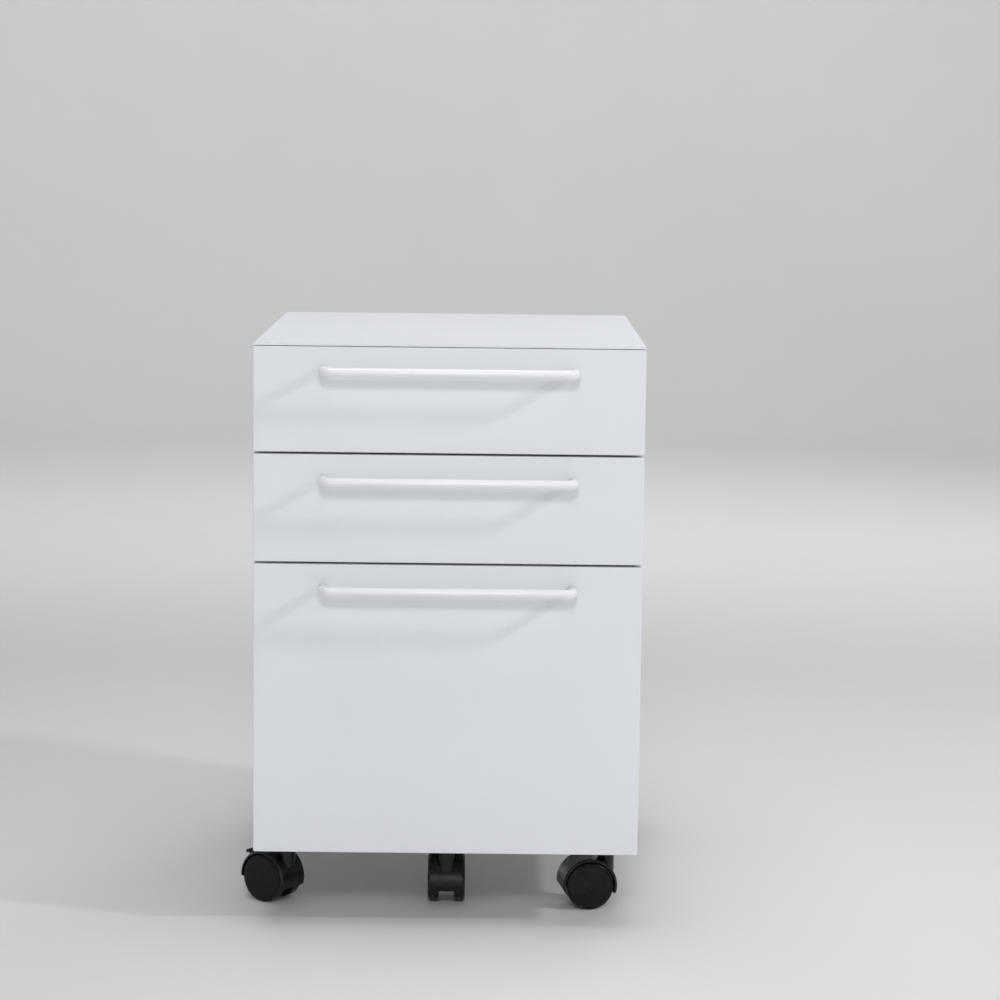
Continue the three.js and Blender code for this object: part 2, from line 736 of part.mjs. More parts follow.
// The heading is the way that the wheels trail, in degrees from +X.
const CASTERS = [
  { name: "front_left_caster", x: -CASTER_X, y: FRONT_CASTER_Y, heading: 144, braked: true },
  { name: "front_right_caster", x: CASTER_X, y: FRONT_CASTER_Y, heading: 190 },
  { name: "rear_left_caster", x: -CASTER_X, y: REAR_CASTER_Y, heading: 118 },
  { name: "rear_right_caster", x: CASTER_X, y: REAR_CASTER_Y, heading: 36, braked: true },
  { name: "centre_caster", x: 0, y: CENTRE_CASTER_Y, heading: 90 },
];

for (const { name, x, y, heading, braked } of CASTERS) {
  const caster = new THREE.Group();
  caster.position.set(x, y, 0);
  caster.rotation.z = THREE.MathUtils.degToRad(heading);
  cabinet.add(caster);
  const plate = place(`${name}_plate`, casterPlate(), zinc, caster);
  plate.rotation.z = -caster.rotation.z; // the plate stays square to the case
  place(`${name}_hood`, casterHood(braked), hoodBlack, caster);
  const axleHalf = WHEEL_SPACE / 2 + 9.7;
  place(`${name}_axle`, rod("y", AXLE_RADIUS, AXLE, -axleHalf, axleHalf, 12), zinc, caster);
  place(`${name}_left_wheel`, casterWheel(), wheelBlack, caster);
  place(`${name}_right_wheel`, casterWheel(), wheelBlack, caster).scale.y = -1;
  if (braked) {
    place(`${name}_brake_lever`, brakeLever(), hoodBlack, caster);
  }
}

export default cabinet;
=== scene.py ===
"""Looks of the rolling pedestal cabinet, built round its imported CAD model.

Metres, in the CAD model's frame: +Z up, the drawers open towards -Y, and the origin is on the
floor. Every place and size comes from the CAD nodes' boxes or from the record's joints, and the
finer sizes of Blender's own pieces are the named values below.
"""

import json
import math
import random

import bmesh
import bpy
from mathutils import Matrix, Vector


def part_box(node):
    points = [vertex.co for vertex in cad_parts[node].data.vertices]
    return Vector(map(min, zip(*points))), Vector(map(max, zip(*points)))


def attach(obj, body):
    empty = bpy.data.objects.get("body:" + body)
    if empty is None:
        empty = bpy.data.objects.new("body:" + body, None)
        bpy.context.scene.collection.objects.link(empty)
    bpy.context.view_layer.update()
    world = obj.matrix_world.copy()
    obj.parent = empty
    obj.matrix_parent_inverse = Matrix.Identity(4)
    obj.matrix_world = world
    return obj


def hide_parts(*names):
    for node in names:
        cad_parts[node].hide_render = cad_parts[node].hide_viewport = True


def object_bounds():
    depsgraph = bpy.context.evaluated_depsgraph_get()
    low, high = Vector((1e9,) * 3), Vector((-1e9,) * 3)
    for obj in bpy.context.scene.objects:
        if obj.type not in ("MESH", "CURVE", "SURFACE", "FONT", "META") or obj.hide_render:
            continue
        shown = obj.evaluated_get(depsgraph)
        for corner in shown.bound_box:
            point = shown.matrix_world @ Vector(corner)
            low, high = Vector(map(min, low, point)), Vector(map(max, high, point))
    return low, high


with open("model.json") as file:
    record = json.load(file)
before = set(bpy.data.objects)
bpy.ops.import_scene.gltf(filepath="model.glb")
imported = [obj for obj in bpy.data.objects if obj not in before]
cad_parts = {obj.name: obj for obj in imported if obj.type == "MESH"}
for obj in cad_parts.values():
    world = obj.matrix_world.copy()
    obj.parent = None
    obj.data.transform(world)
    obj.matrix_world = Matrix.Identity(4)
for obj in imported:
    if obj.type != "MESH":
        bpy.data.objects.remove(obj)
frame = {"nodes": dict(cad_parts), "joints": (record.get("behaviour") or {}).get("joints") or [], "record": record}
cad_low, cad_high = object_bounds()

MM = 0.001
DRAWERS = ("top_drawer", "middle_drawer", "file_drawer")
BOX_DRAWERS = ("top_drawer", "middle_drawer")
SIDES = {"left": -1, "right": 1}
CASTERS = {
    "front_left_caster": "root",
    "front_right_caster": "root",
    "rear_left_caster": "root",
    "rear_right_caster": "root",
    "centre_caster": "file_drawer",
}
JOINTS = {joint["name"]: joint for joint in frame["joints"]}

random.seed(7)


def middle_of(node):
    """The middle of a CAD node's box."""
    low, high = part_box(node)
    return (low + high) / 2


# ------------------------------------------------------------------ stage, camera and light

FLOOR_RADIUS = 4.2  # of the flat part
FLOOR_CENTRE_RADIUS = 1.0  # of the ring of triangles round the middle
FLOOR_SIDES = 128
FLOOR_DROP = 0.05 * MM  # below the wheels, so that the two don't share a plane
COVE_RADIUS = 1.4
COVE_STEPS = 16
COVE_HEIGHT = 3.0  # top of the wall

CAMERA_X = 0.0403
CAMERA_HEIGHT = 0.814
CAMERA_DISTANCE = 2.755  # from the case's front edge
CAMERA_LENS = 100.5  # millimetres
CAMERA_SENSOR = 36  # millimetres across
CAMERA_CLIP = (0.1, 60)
CAMERA_YAW = math.radians(0.23)
CAMERA_PITCH = math.radians(7.717)  # downwards
CAMERA_ROLL = math.radians(0.669)

# Azimuth and elevation in degrees, distance from the cabinet, side of the box, and watts.
SOFT_BOXES = {
    "key": (0, 28, 3.4, 0.45, 20),
    "front_low": (0, 4, 3.4, 1.0, 4),
    "side": (67, 31, 3.4, 0.25, 27),
    "overhead": (0, 88, 2.8, 2.0, 38),
    "rear_fill": (150, 30, 3.4, 1.2, 10),
}
WALL_WASH_AZIMUTHS = (0, 90, 180, 270)
WALL_WASH_OUT = 2.5  # from the middle of the floor
WALL_WASH_HEIGHT = 2.6
WALL_WASH_AIM = 1.0  # height on the wall
WALL_WASH_SIZE = 3.0
WALL_WASH_POWER = 44
SKY_COLOR = (0.97, 0.985, 1.0, 1)
SKY_STRENGTH = 0.22


def make_camera():
    data = bpy.data.cameras.new("camera")
    data.lens = CAMERA_LENS
    data.sensor_width = CAMERA_SENSOR
    data.clip_start, data.clip_end = CAMERA_CLIP
    camera = bpy.data.objects.new("camera", data)
    bpy.context.scene.collection.objects.link(camera)
    flat = math.cos(CAMERA_PITCH)
    ahead = Vector((math.sin(CAMERA_YAW) * flat, math.cos(CAMERA_YAW) * flat, 0))
    forward = ahead + Vector((0, 0, -math.sin(CAMERA_PITCH)))
    level = Vector((math.cos(CAMERA_YAW), -math.sin(CAMERA_YAW), 0))
    upright = level.cross(forward)
    right = math.cos(CAMERA_ROLL) * level + math.sin(CAMERA_ROLL) * upright
    up = -math.sin(CAMERA_ROLL) * level + math.cos(CAMERA_ROLL) * upright
    turn = Matrix((right, up, -forward)).transposed().to_4x4()
    front_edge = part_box("top_panel")[0].y
    place = Vector((CAMERA_X, front_edge - CAMERA_DISTANCE, CAMERA_HEIGHT))
    camera.matrix_world = Matrix.Translation(place) @ turn
    bpy.context.scene.camera = camera


def soft_box(name, place, target, size, power):
    """A square area light that faces a point."""
    data = bpy.data.lights.new(name, "AREA")
    data.shape = "SQUARE"
    data.size = size
    data.energy = power
    light = bpy.data.objects.new(name, data)
    bpy.context.scene.collection.objects.link(light)
    light.location = place
    light.rotation_euler = (target - place).to_track_quat("-Z", "Y").to_euler()


def studio_light(name, azimuth, elevation, distance, size, power):
    """A soft box at a direction from the cabinet: azimuth 0 is in front, 90 on its right."""
    middle = (cad_low + cad_high) / 2
    turn, rise = math.radians(azimuth), math.radians(elevation)
    level = math.cos(rise)
    way = Vector((math.sin(turn) * level, -math.cos(turn) * level, math.sin(rise)))
    soft_box(name, middle + distance * way, middle, size, power)


def wash_wall(azimuth):
    """Lights the wall of the stage from above the cabinet, facing away from it."""
    turn = math.radians(azimuth)
    way = Vector((math.sin(turn), -math.cos(turn), 0))
    place = WALL_WASH_OUT * way + Vector((0, 0, WALL_WASH_HEIGHT))
    target = (FLOOR_RADIUS + COVE_RADIUS) * way + Vector((0, 0, WALL_WASH_AIM))
    soft_box(f"wall_wash_{azimuth}", place, target, WALL_WASH_SIZE, WALL_WASH_POWER)


def make_light():
    for name, settings in SOFT_BOXES.items():
        studio_light(name, *settings)
    for azimuth in WALL_WASH_AZIMUTHS:
        wash_wall(azimuth)
    world = bpy.data.worlds.new("studio")
    world.use_nodes = True
    sky = world.node_tree.nodes["Background"]
    sky.inputs["Color"].default_value = SKY_COLOR
    sky.inputs["Strength"].default_value = SKY_STRENGTH
    bpy.context.scene.world = world
    bpy.context.scene.view_settings.view_transform = "Standard"


# ------------------------------------------------------------------ materials

# Heights between which the dust on the lower panels thins out.
DUST_FULL = 0.07
DUST_GONE = 0.16

# Radii between which a wheel's polished disc turns into its worn tread.
DISC_EDGE = 23.2 * MM
TREAD_EDGE = 24.7 * MM

PANEL_DUST = (0.42, 0.40, 0.37)
CASTER_DUST = (0.30, 0.28, 0.25)
TREAD_DUST = (0.34, 0.32, 0.29)


class Finish:
    """A principled material, and short calls for the nodes that give it its detail."""

    def __init__(self, name, color, roughness, metallic=0.0, specular=0.5):
        self.material = bpy.data.materials.new(name)
        self.material.use_nodes = True
        self.material.diffuse_color = (*color, 1)
        self.tree = self.material.node_tree
        self.shader = self.tree.nodes["Principled BSDF"]
        self.color = color
        self.shader.inputs["Base Color"].default_value = (*color, 1)
        self.shader.inputs["Roughness"].default_value = roughness
        self.shader.inputs["Metallic"].default_value = metallic
        self.shader.inputs["Specular IOR Level"].default_value = specular
        self.place = self.tree.nodes.new("ShaderNodeTexCoord").outputs["Object"]

    def link(self, output, target):
        self.tree.links.new(output, target)

    def stretched(self, stretch):
        """Object coordinates, scaled by a different amount along each axis."""
        node = self.tree.nodes.new("ShaderNodeMapping")
        node.inputs["Scale"].default_value = stretch
        self.link(self.place, node.inputs["Vector"])
        return node.outputs["Vector"]

    def noise(self, scale, detail=3, stretch=None, distortion=0.0):
        """Noise with about this many features in a metre."""
        node = self.tree.nodes.new("ShaderNodeTexNoise")
        node.inputs["Scale"].default_value = scale
        node.inputs["Detail"].default_value = detail
        node.inputs["Distortion"].default_value = distortion
        self.link(self.stretched(stretch) if stretch else self.place, node.inputs["Vector"])
        return node.outputs["Fac"]

    def cells(self, scale):
        """Flat cells of different values, with about this many in a metre."""
        node = self.tree.nodes.new("ShaderNodeTexVoronoi")
        node.inputs["Scale"].default_value = scale
        self.link(self.place, node.inputs["Vector"])
        grey = self.tree.nodes.new("ShaderNodeSeparateColor")
        self.link(node.outputs["Color"], grey.inputs["Color"])
        return grey.outputs["Red"]

    def spread(self, value, low, high, start=0.3, end=0.7):
        """A value between start and end, as one between low and high."""
        node = self.tree.nodes.new("ShaderNodeMapRange")
        node.inputs["From Min"].default_value = start
        node.inputs["From Max"].default_value = end
        node.inputs["To Min"].default_value = low
        node.inputs["To Max"].default_value = high
        self.link(value, node.inputs["Value"])
        return node.outputs["Result"]

    def math(self, kind, first, second):
        node = self.tree.nodes.new("ShaderNodeMath")
        node.operation = kind
        for value, target in zip((first, second), node.inputs):
            if isinstance(value, (int, float)):
                target.default_value = value
            else:
                self.link(value, target)
        return node.outputs["Value"]

    def mixed(self, share, first, second):
        """Two colours mixed by a value; each is three numbers or an output."""
        node = self.tree.nodes.new("ShaderNodeMix")
        node.data_type = "RGBA"
        self.link(share, node.inputs["Factor"])
        for value, target in ((first, node.inputs["A"]), (second, node.inputs["B"])):
            if isinstance(value, bpy.types.NodeSocket):
                self.link(value, target)
            else:
                target.default_value = (*value, 1)
        return node.outputs["Result"]

    def shaded(self, share, dark, light):
        """The material's own colour, made darker or lighter by a value."""
        darker = [channel * dark for channel in self.color]
        lighter = [min(1, channel * light) for channel in self.color]
        return self.mixed(share, darker, lighter)

    def set_color(self, output):
        self.link(output, self.shader.inputs["Base Color"])

    def set_roughness(self, output):
        self.link(output, self.shader.inputs["Roughness"])

    def raise_by(self, value, height, before=None):
        """Bump of this height in metres, on top of an earlier bump."""
        node = self.tree.nodes.new("ShaderNodeBump")
        node.inputs["Distance"].default_value = height
        self.link(value, node.inputs["Height"])
        if before:
            self.link(before, node.inputs["Normal"])
        return node.outputs["Normal"]

    def set_normal(self, output):
        self.link(output, self.shader.inputs["Normal"])

    def height_above_floor(self):
        node = self.tree.nodes.new("ShaderNodeSeparateXYZ")
        self.link(self.place, node.inputs["Vector"])
        return node.outputs["Z"]

    def facing_up(self):
        """1 where the surface faces up, and 0 where it is upright or faces down."""
        geometry = self.tree.nodes.new("ShaderNodeNewGeometry")
        split = self.tree.nodes.new("ShaderNodeSeparateXYZ")
        self.link(geometry.outputs["Normal"], split.inputs["Vector"])
        return self.spread(split.outputs["Z"], 0, 1, 0.25, 0.95)


def powder_coat():
    """Satin powder coat: orange peel, cloudy gloss, and a little dust near the floor."""
    coat = Finish("powder_coat", (0.80, 0.822, 0.857), 0.42)
    cloud = coat.noise(4, 2)
    color = coat.shaded(coat.spread(cloud, 0, 1), 0.985, 1.01)
    low_down = coat.spread(coat.height_above_floor(), 1, 0, DUST_FULL, DUST_GONE)
    dust = coat.math("MULTIPLY", coat.noise(60, 5), low_down)
    coat.set_color(coat.mixed(coat.math("MULTIPLY", dust, 0.10), color, PANEL_DUST))
    smudge = coat.noise(14, 4, distortion=0.6)
    coat.set_roughness(coat.spread(smudge, 0.37, 0.47))
    peel = coat.raise_by(coat.noise(520, 2), 14e-6)
    coat.set_normal(coat.raise_by(coat.noise(1900, 1), 2e-6, peel))
    return coat.material


def handle_coat():
    """Glossier coat of the handles, with faint wiping marks along the bar."""
    coat = Finish("handle_coat", (0.83, 0.845, 0.87), 0.30, specular=0.5)
    wipe = coat.noise(30, 4, stretch=(0.25, 1, 1))
    coat.set_color(coat.shaded(coat.spread(wipe, 0, 1), 0.985, 1.01))
    coat.set_roughness(coat.spread(wipe, 0.26, 0.36))
    coat.set_normal(coat.raise_by(coat.noise(700, 2), 5e-6))
    coat.shader.inputs["Coat Weight"].default_value = 0.30
    coat.shader.inputs["Coat Roughness"].default_value = 0.15
    return coat.material


def zinc_plate():
    """Rolled and zinc plated steel: drawing lines along the rail, and cloudy plating."""
    zinc = Finish("zinc_plate", (0.60, 0.615, 0.635), 0.34, metallic=1.0)
    lines = zinc.noise(900, 3, stretch=(1, 0.02, 1))
    cloud = zinc.noise(45, 4)
    spangle = zinc.cells(420)
    clouds = zinc.math("MULTIPLY", cloud, 0.8)
    tone = zinc.math("ADD", clouds, zinc.math("MULTIPLY", spangle, 0.2))
    zinc.set_color(zinc.shaded(zinc.spread(tone, 0, 1), 0.88, 1.06))
    zinc.set_roughness(zinc.spread(zinc.math("MULTIPLY", lines, cloud), 0.26, 0.46, 0.1, 0.4))
    zinc.set_normal(zinc.raise_by(lines, 4e-6))
    return zinc.material


def bright_steel():
    """Zinc plated screws and rivets: small, bright and a little scuffed."""
    steel = Finish("bright_steel", (0.68, 0.69, 0.70), 0.26, metallic=1.0)
    scuff = steel.noise(700, 4)
    steel.set_color(steel.shaded(steel.spread(scuff, 0, 1), 0.80, 1.05))
    steel.set_roughness(steel.spread(scuff, 0.20, 0.40))
    steel.set_normal(steel.raise_by(scuff, 8e-6))
    return steel.material


def hood_nylon():
    """Moulded black nylon with a fine spark texture, and dust on what faces up."""
    nylon = Finish("hood_nylon", (0.0065, 0.0065, 0.0075), 0.26, specular=0.34)
    patch = nylon.noise(55, 4)
    color = nylon.shaded(nylon.spread(patch, 0, 1), 0.8, 1.3)
    grains = nylon.spread(nylon.noise(170, 6), 0, 0.03, 0.4, 0.7)
    settled = nylon.math("MULTIPLY", nylon.facing_up(), grains)
    nylon.set_color(nylon.mixed(settled, color, CASTER_DUST))
    nylon.set_roughness(nylon.spread(patch, 0.20, 0.32))
    nylon.set_normal(nylon.raise_by(nylon.noise(2300, 2), 5e-6))
    return nylon.material


def wheel_nylon():
    """Black wheel nylon: polished disc, dusty scuffed tread."""
    nylon = Finish("wheel_nylon", (0.0060, 0.0060, 0.0075), 0.24, specular=0.22)
    split = nylon.tree.nodes.new("ShaderNodeSeparateXYZ")
    nylon.link(nylon.place, split.inputs["Vector"])
    squares = [nylon.math("POWER", split.outputs[axis], 2) for axis in ("X", "Y")]
    radius = nylon.math("SQRT", nylon.math("ADD", *squares), 0)
    tread = nylon.spread(radius, 0, 1, DISC_EDGE, TREAD_EDGE)
    scuff = nylon.spread(nylon.noise(420, 6), 0, 1, 0.42, 0.72)
    worn = nylon.math("MULTIPLY", tread, scuff)
    color = nylon.shaded(nylon.spread(nylon.noise(80, 3), 0, 1), 0.85, 1.2)
    nylon.set_color(nylon.mixed(nylon.math("MULTIPLY", worn, 0.08), color, TREAD_DUST))
    nylon.set_roughness(nylon.spread(worn, 0.22, 0.60, 0, 1))
    fine = nylon.raise_by(nylon.noise(1600, 2), 5e-6)
    nylon.set_normal(nylon.raise_by(worn, 3e-5, fine))
    return nylon.material


def buffer_rubber():
    """Soft grey buffers."""
    rubber = Finish("buffer_rubber", (0.42, 0.43, 0.44), 0.5)
    rubber.set_color(rubber.shaded(rubber.spread(rubber.noise(500, 3), 0, 1), 0.9, 1.08))
    rubber.set_roughness(rubber.spread(rubber.noise(300, 3), 0.42, 0.6))
    return rubber.material


def studio_floor():
    """Plain pale floor, very slightly uneven in tone."""
    floor = Finish("studio_floor", (0.74, 0.74, 0.74), 0.62)
    floor.set_color(floor.shaded(floor.spread(floor.noise(1.3, 4), 0, 1), 0.985, 1.015))
    floor.set_roughness(floor.spread(floor.noise(9, 3), 0.56, 0.68))
    return floor.material


POWDER_COAT = powder_coat()
HANDLE_COAT = handle_coat()
ZINC_PLATE = zinc_plate()
BRIGHT_STEEL = bright_steel()
HOOD_NYLON = hood_nylon()
WHEEL_NYLON = wheel_nylon()
BUFFER_RUBBER = buffer_rubber()

SLOT_MATERIALS = {
    "white_coat": POWDER_COAT,
    "handle_white": HANDLE_COAT,
    "zinc_steel": ZINC_PLATE,
    "hood_black": HOOD_NYLON,
    "wheel_black": WHEEL_NYLON,
}

# ------------------------------------------------------------------ meshes


def lathe(profile, sides):
    """A closed solid of revolution about Z. The profile is (radius, height) pairs, from the
    axis round to the axis again. A radius may be a function of the angle."""
    shape = bmesh.new()
    rings = []
    for radius, height in profile:
        if radius == 0:
            rings.append([shape.verts.new((0, 0, height))] * sides)
            continue
        ring = []
        for step in range(sides):
            angle = 2 * math.pi * step / sides
            reach = radius(angle) if callable(radius) else radius
            spot = (reach * math.cos(angle), reach * math.sin(angle), height)
            ring.append(shape.verts.new(spot))
        rings.append(ring)
    for lower, upper in zip(rings, rings[1:]):
        for step in range(sides):
            following = (step + 1) % sides
            corners = [lower[step], lower[following], upper[following], upper[step]]
            shape.faces.new(list(dict.fromkeys(corners)))
    bmesh.ops.recalc_face_normals(shape, faces=shape.faces)
    return shape


def arc(centre, radius, start, end, steps):
    """Points of an arc, as (radius, height) pairs, with its angles in degrees."""
    points = []
    for step in range(steps + 1):
        angle = math.radians(start + (end - start) * step / steps)
        across, up = radius * math.cos(angle), radius * math.sin(angle)
        points.append((centre[0] + across, centre[1] + up))
    return points


def block(low, high):
    """A box between two corners."""
    shape = bmesh.new()
    bmesh.ops.create_cube(shape, size=1)
    size = Vector(high) - Vector(low)
    scale = Matrix.Diagonal((*size, 1))
    middle = (Vector(high) + Vector(low)) / 2
    bmesh.ops.transform(shape, matrix=Matrix.Translation(middle) @ scale, verts=shape.verts)
    return shape


def mesh_of(name, shape):
    """The mesh of a bmesh, which is freed."""
    mesh = bpy.data.meshes.new(name)
    shape.to_mesh(mesh)
    shape.free()
    return mesh


def copies(name, mesh, places):
    """One mesh that holds a copy of another at each place."""
    shape = bmesh.new()
    for place in places:
        before = len(shape.verts)
        shape.from_mesh(mesh)
        shape.verts.ensure_lookup_table()
        bmesh.ops.transform(shape, matrix=place, verts=shape.verts[before:])
    return mesh_of(name, shape)


def facing(place, direction):
    """A placement whose Z axis points along a direction."""
    turn = Vector(direction).to_track_quat("Z", "Y").to_matrix().to_4x4()
    return Matrix.Translation(Vector(place)) @ turn


def add_piece(name, mesh, material, body, place=None):
    """Adds one of Blender's own pieces, which rides on a CAD body."""
    piece = bpy.data.objects.new(name, mesh)
    bpy.context.scene.collection.objects.link(piece)
    mesh.materials.clear()
    mesh.materials.append(material)
    mesh.shade_smooth()
    if place:
        piece.matrix_world = place
    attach(piece, body)
    return piece


def soften(piece, width, segments=2, angle=35):
    """Rounds a piece's sharp edges a little, and shades its flat faces flat."""
    bevel = piece.modifiers.new("edges", "BEVEL")
    bevel.width = width
    bevel.segments = segments
    bevel.limit_method = "ANGLE"
    bevel.angle_limit = math.radians(angle)
    normals = piece.modifiers.new("normals", "WEIGHTED_NORMAL")
    normals.keep_sharp = True


# ------------------------------------------------------------------ the CAD nodes' finish

WELD_DISTANCE = 0.01 * MM
FLAT_ANGLE = math.radians(0.3)  # faces nearer to level than this are joined

# How far each material's edges are rounded.
EDGE_ROUND = {
    "white_coat": 0.30 * MM,
    "handle_white": 0.30 * MM,
    "zinc_steel": 0.22 * MM,
    "hood_black": 0.35 * MM,
    "wheel_black": 0.30 * MM,
}


def welding_group():
    """Geometry nodes that weld the split corners of a CAD mesh and clear its stored normals."""
    group = bpy.data.node_groups.new("weld_corners", "GeometryNodeTree")
    group.interface.new_socket("Geometry", in_out="INPUT", socket_type="NodeSocketGeometry")
    group.interface.new_socket("Geometry", in_out="OUTPUT", socket_type="NodeSocketGeometry")
    start = group.nodes.new("NodeGroupInput")
    weld = group.nodes.new("GeometryNodeMergeByDistance")
    weld.inputs["Distance"].default_value = WELD_DISTANCE
    clear = group.nodes.new("GeometryNodeRemoveAttribute")
    clear.inputs["Name"].default_value = "custom_normal"
    smooth = group.nodes.new("GeometryNodeSetShadeSmooth")
    end = group.nodes.new("NodeGroupOutput")
    chain = [start, weld, clear, smooth, end]
    for earlier, later in zip(chain, chain[1:]):
        group.links.new(earlier.outputs[0], later.inputs[0])
    return group


def finish_cad_nodes():
    """Gives every CAD node its material and its rounded edges."""
    welding = welding_group()
    slots = {row["node"]: row["material_slot"] for row in frame["record"]["subparts"]}
    for name, node in frame["nodes"].items():
        slot = slots[name]
        for holder in node.material_slots:
            holder.link = "OBJECT"
            holder.material = SLOT_MATERIALS[slot]
        node.modifiers.new("weld", "NODES").node_group = welding
        flat = node.modifiers.new("flat", "DECIMATE")
        flat.decimate_type = "DISSOLVE"
        flat.angle_limit = FLAT_ANGLE
        soften(node, EDGE_ROUND[slot])


# ------------------------------------------------------------------ handles

HANDLE_HALF = 129 * MM  # half the length over both posts
HANDLE_ELBOW = 8 * MM  # bend radius on the rod's centre line
HANDLE_SIDES = 40
ELBOW_STEPS = 14
POST_OVERLAP = 0.1 * MM  # how far a post runs into the drawer front


def handle_stations(low, high, radius, front_y):
    """The middle of a bow handle's rod as (point, direction) pairs, from post to post."""
    z = (low.z + high.z) / 2
    bar_y = low.y + radius
    reach = high.x - radius
    middle_x = (low.x + high.x) / 2
    turn = HANDLE_ELBOW
    stations = [(Vector((low.x + radius, front_y, z)), Vector((0, -1, 0)))]
    for step in range(ELBOW_STEPS + 1):
        angle = math.pi / 2 * step / ELBOW_STEPS
        out, along = math.cos(angle), math.sin(angle)
        x = low.x + radius + turn * (1 - out)
        y = bar_y + turn * (1 - along)
        stations.append((Vector((x, y, z)), Vector((along, -out, 0))))
    for point, direction in reversed(stations):
        mirrored = Vector((2 * middle_x - point.x, point.y, z))
        stations = stations + [(mirrored, Vector((direction.x, -direction.y, 0)))]
    return stations


def swept_rod(stations, radius, sides):
    """A round rod along stations that lie level, closed at both ends."""
    shape = bmesh.new()
    rings = []
    for point, direction in stations:
        aside = direction.cross(Vector((0, 0, 1)))
        ring = []
        for step in range(sides):
            angle = 2 * math.pi * step / sides
            offset = radius * (math.cos(angle) * aside + math.sin(angle) * Vector((0, 0, 1)))
            ring.append(shape.verts.new(point + offset))
        rings.append(ring)
    for before, after in zip(rings, rings[1:]):
        for step in range(sides):
            following = (step + 1) % sides
            shape.faces.new((before[step], before[following], after[following], after[step]))
    shape.faces.new(rings[0])
    shape.faces.new(rings[-1])
    bmesh.ops.recalc_face_normals(shape, faces=shape.faces)
    return shape


def make_handle(drawer):
    """A drawer's bow handle, rounder than its CAD node, which it replaces."""
    low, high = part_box(f"{drawer}_handle")
    radius = (high.z - low.z) / 2
    front_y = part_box(f"{drawer}_front")[0].y + POST_OVERLAP
    middle = middle_of(f"{drawer}_handle").x
    low.x = middle - HANDLE_HALF
    high.x = middle + HANDLE_HALF
    stations = handle_stations(low, high, radius, front_y)
    mesh = mesh_of(f"{drawer}_bow_handle", swept_rod(stations, radius, HANDLE_SIDES))
    piece = add_piece(f"{drawer}_bow_handle", mesh, HANDLE_COAT, drawer)
    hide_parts(f"{drawer}_handle")


# ------------------------------------------------------------------ casters

WHEEL_SIDES = 96
WHEEL_WIDTH = 11.5 * MM


def wheel_profile(radius, width):
    """A twin wheel from its inner face round its tread to its outer face."""
    shoulder = 2.2 * MM
    inner_shoulder = 0.9 * MM
    groove = 22.4 * MM
    groove_half = 0.45 * MM
    groove_depth = 0.5 * MM
    cap = 6 * MM
    dome = 0.5 * MM
    bore = 2.8 * MM
    bore_depth = 10 * MM
    hub = 7 * MM
    recess_edge = 20.8 * MM
    recess_slope = 0.6 * MM
    recess_depth = 0.8 * MM
    profile = [(0, bore_depth), (bore, bore_depth), (bore, 0), (hub, 0)]
    profile += [(hub + recess_slope, recess_depth), (recess_edge - recess_slope, recess_depth)]
    profile += [(recess_edge, 0)]
    profile += arc((radius - inner_shoulder, inner_shoulder), inner_shoulder, -90, 0, 5)
    profile += arc((radius - shoulder, width - dome - shoulder), shoulder, 0, 80, 8)
    rim = width - 0.42 * MM
    profile += [(groove + groove_half, rim), (groove + 0.3 * MM, rim - groove_depth)]
    profile += [(groove - 0.3 * MM, rim - groove_depth), (groove - groove_half, rim + 0.02 * MM)]
    dome_steps = 8
    for step in range(1, dome_steps):
        share = step / dome_steps
        r = (groove - groove_half) * (1 - share) + cap * share
        profile.append((r, width - dome * (r / radius) ** 2 - 0.05 * MM))
    profile += [(cap, width - 0.28 * MM), (cap - 0.4 * MM, width - 0.28 * MM)]
    profile += [(cap - 0.7 * MM, width), (cap * 0.5, width), (0, width)]
    return profile


def make_wheels(caster):
    """A caster's two wheels, rounder than their CAD nodes, which they replace."""
    hood_middle = (middle_of(f"{caster}_left_wheel") + middle_of(f"{caster}_right_wheel")) / 2
    for side in SIDES:
        node = f"{caster}_{side}_wheel"
        low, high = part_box(node)
        radius = (high.z - low.z) / 2
        axis = Vector(JOINTS[f"{node}_spin"]["axis"])
        outward = middle_of(node) - hood_middle
        if outward.dot(axis) < 0:
            axis = -axis
        inner = hood_middle + axis * (outward.dot(axis) - WHEEL_WIDTH / 2)
        shape = lathe(wheel_profile(radius, WHEEL_WIDTH), WHEEL_SIDES)
        mesh = mesh_of(f"{node}_disc", shape)
        place = facing(inner, axis)
        piece = add_piece(f"{node}_disc", mesh, WHEEL_NYLON, node, place)
        normals = piece.modifiers.new("normals", "WEIGHTED_NORMAL")
        normals.keep_sharp = True
        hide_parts(node)


# ------------------------------------------------------------------ screws, rivets, buffers

RAIL_SHEET = 1.2 * MM  # thickness of the slide members
SCREW_SIDES = 32
SCREW_SHARP_ANGLE = math.radians(40)
CROSS_HALF_ANGLE = math.radians(12)  # half an arm of the cross recess, seen from the middle


def cross_outline(arm, root):
    """The outline of a cross recess: four arms of this length, and the corners between them."""

    def reach(angle):
        past_arm = abs((angle + math.pi / 4) % (math.pi / 2) - math.pi / 4)
        return arm if past_arm < CROSS_HALF_ANGLE else root

    return reach


def pan_screw():
    """A pan head screw, seen from its head, with a cross recess. The seat is at Z 0."""
    head = 4 * MM
    height = 2.4 * MM
    sunk = 0.2 * MM
    rim = 1.4 * MM
    flat_top = 2.5 * MM
    recess_floor = 1.1 * MM
    recess_tip = 1.0 * MM
    profile = [(0, -sunk), (head, -sunk), (head, 0.6 * MM)]
    profile += arc((head - rim, 0.8 * MM), rim, 20, 75, 5)
    profile += [(flat_top, height), (cross_outline(2.1 * MM, 0.8 * MM), height)]
    profile += [(cross_outline(1.8 * MM, 0.65 * MM), recess_floor), (0, recess_tip)]
    return mesh_of("pan_screw", lathe(profile, SCREW_SIDES))


